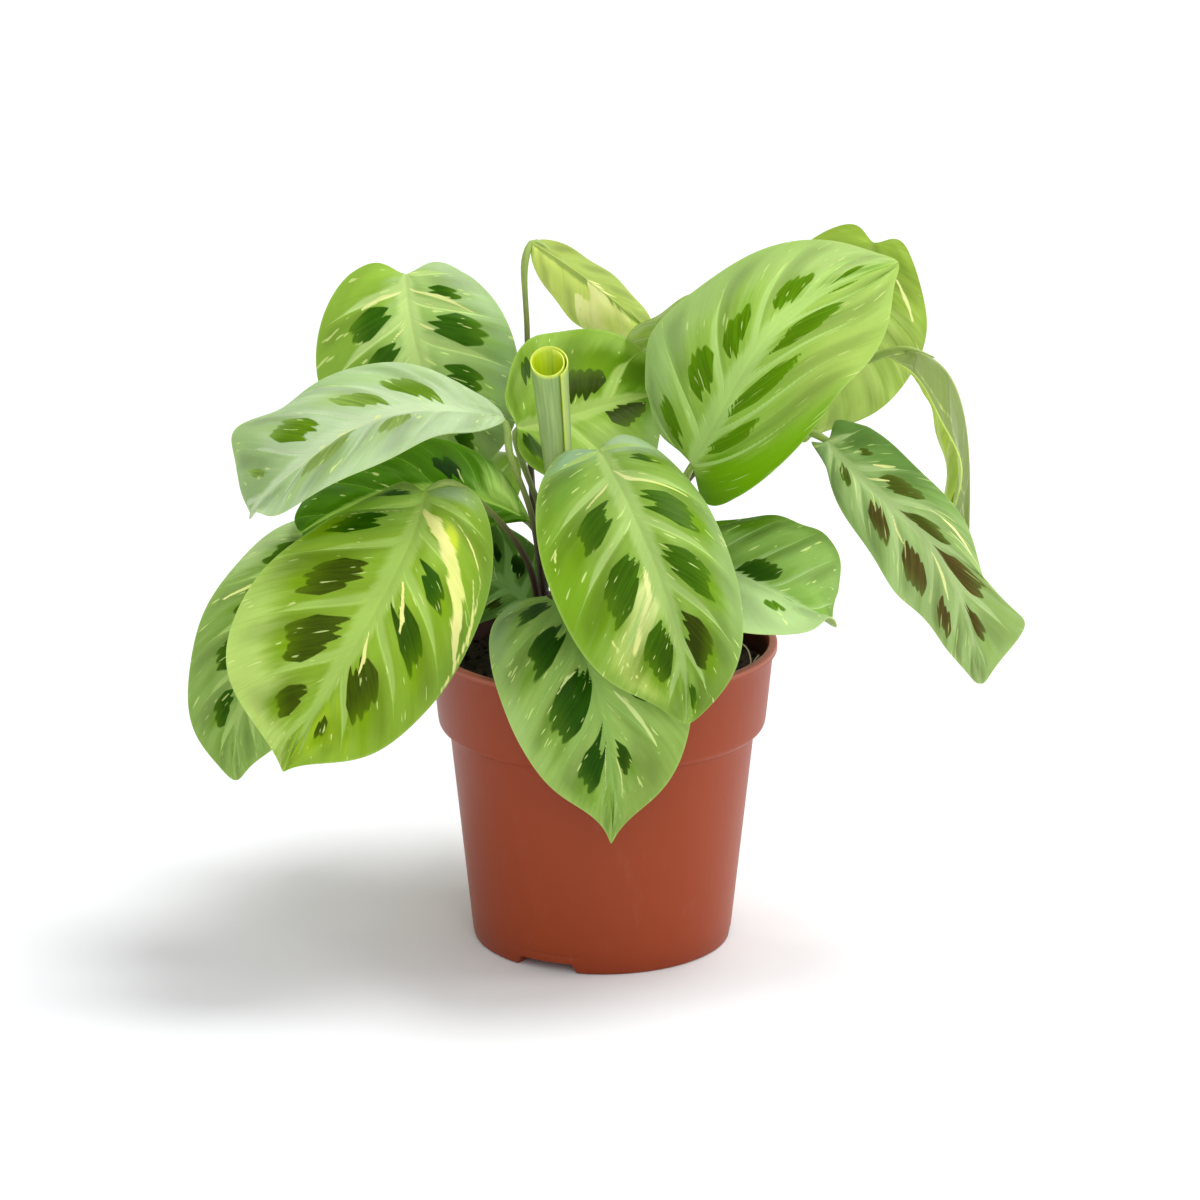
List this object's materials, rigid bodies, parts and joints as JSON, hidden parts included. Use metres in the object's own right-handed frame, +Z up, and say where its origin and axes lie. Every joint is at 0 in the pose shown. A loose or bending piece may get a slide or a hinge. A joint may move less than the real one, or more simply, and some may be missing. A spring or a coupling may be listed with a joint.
{
  "type": "potted prayer plant",
  "caption": "Prayer plant with broad blotched leaves on thin stalks, growing in a tapered nursery pot whose rim the leaves hang over.",
  "frame": {"origin": "centre of the pot's underside, where it stands", "axes": "+Z up, -Y towards the side that the picture shows"},
  "size_m": [0.2832, 0.1913, 0.2448],
  "materials": {
    "pot": "satin",
    "soil": "matte",
    "leaf": "satin",
    "pale_leaf": "satin",
    "young_leaf": "satin"
  },
  "bodies": {
    "root": {"pot": "pot", "soil": "soil", "leaf_upper_left": "leaf", "leaf_left_pale": "pale_leaf", "leaf_front_left": "leaf", "leaf_lower_left": "leaf", "leaf_mid_left": "leaf", "leaf_front_center": "leaf", "leaf_pot_front": "leaf", "leaf_crown_low": "leaf", "leaf_top_folded": "leaf", "leaf_back_center": "leaf", "leaf_back_left": "leaf", "leaf_back_low": "leaf", "leaf_back_tall": "leaf", "leaf_back_right_low": "leaf", "shoot_right": "leaf", "leaf_rolled": "young_leaf"}
  },
  "joints": []
}
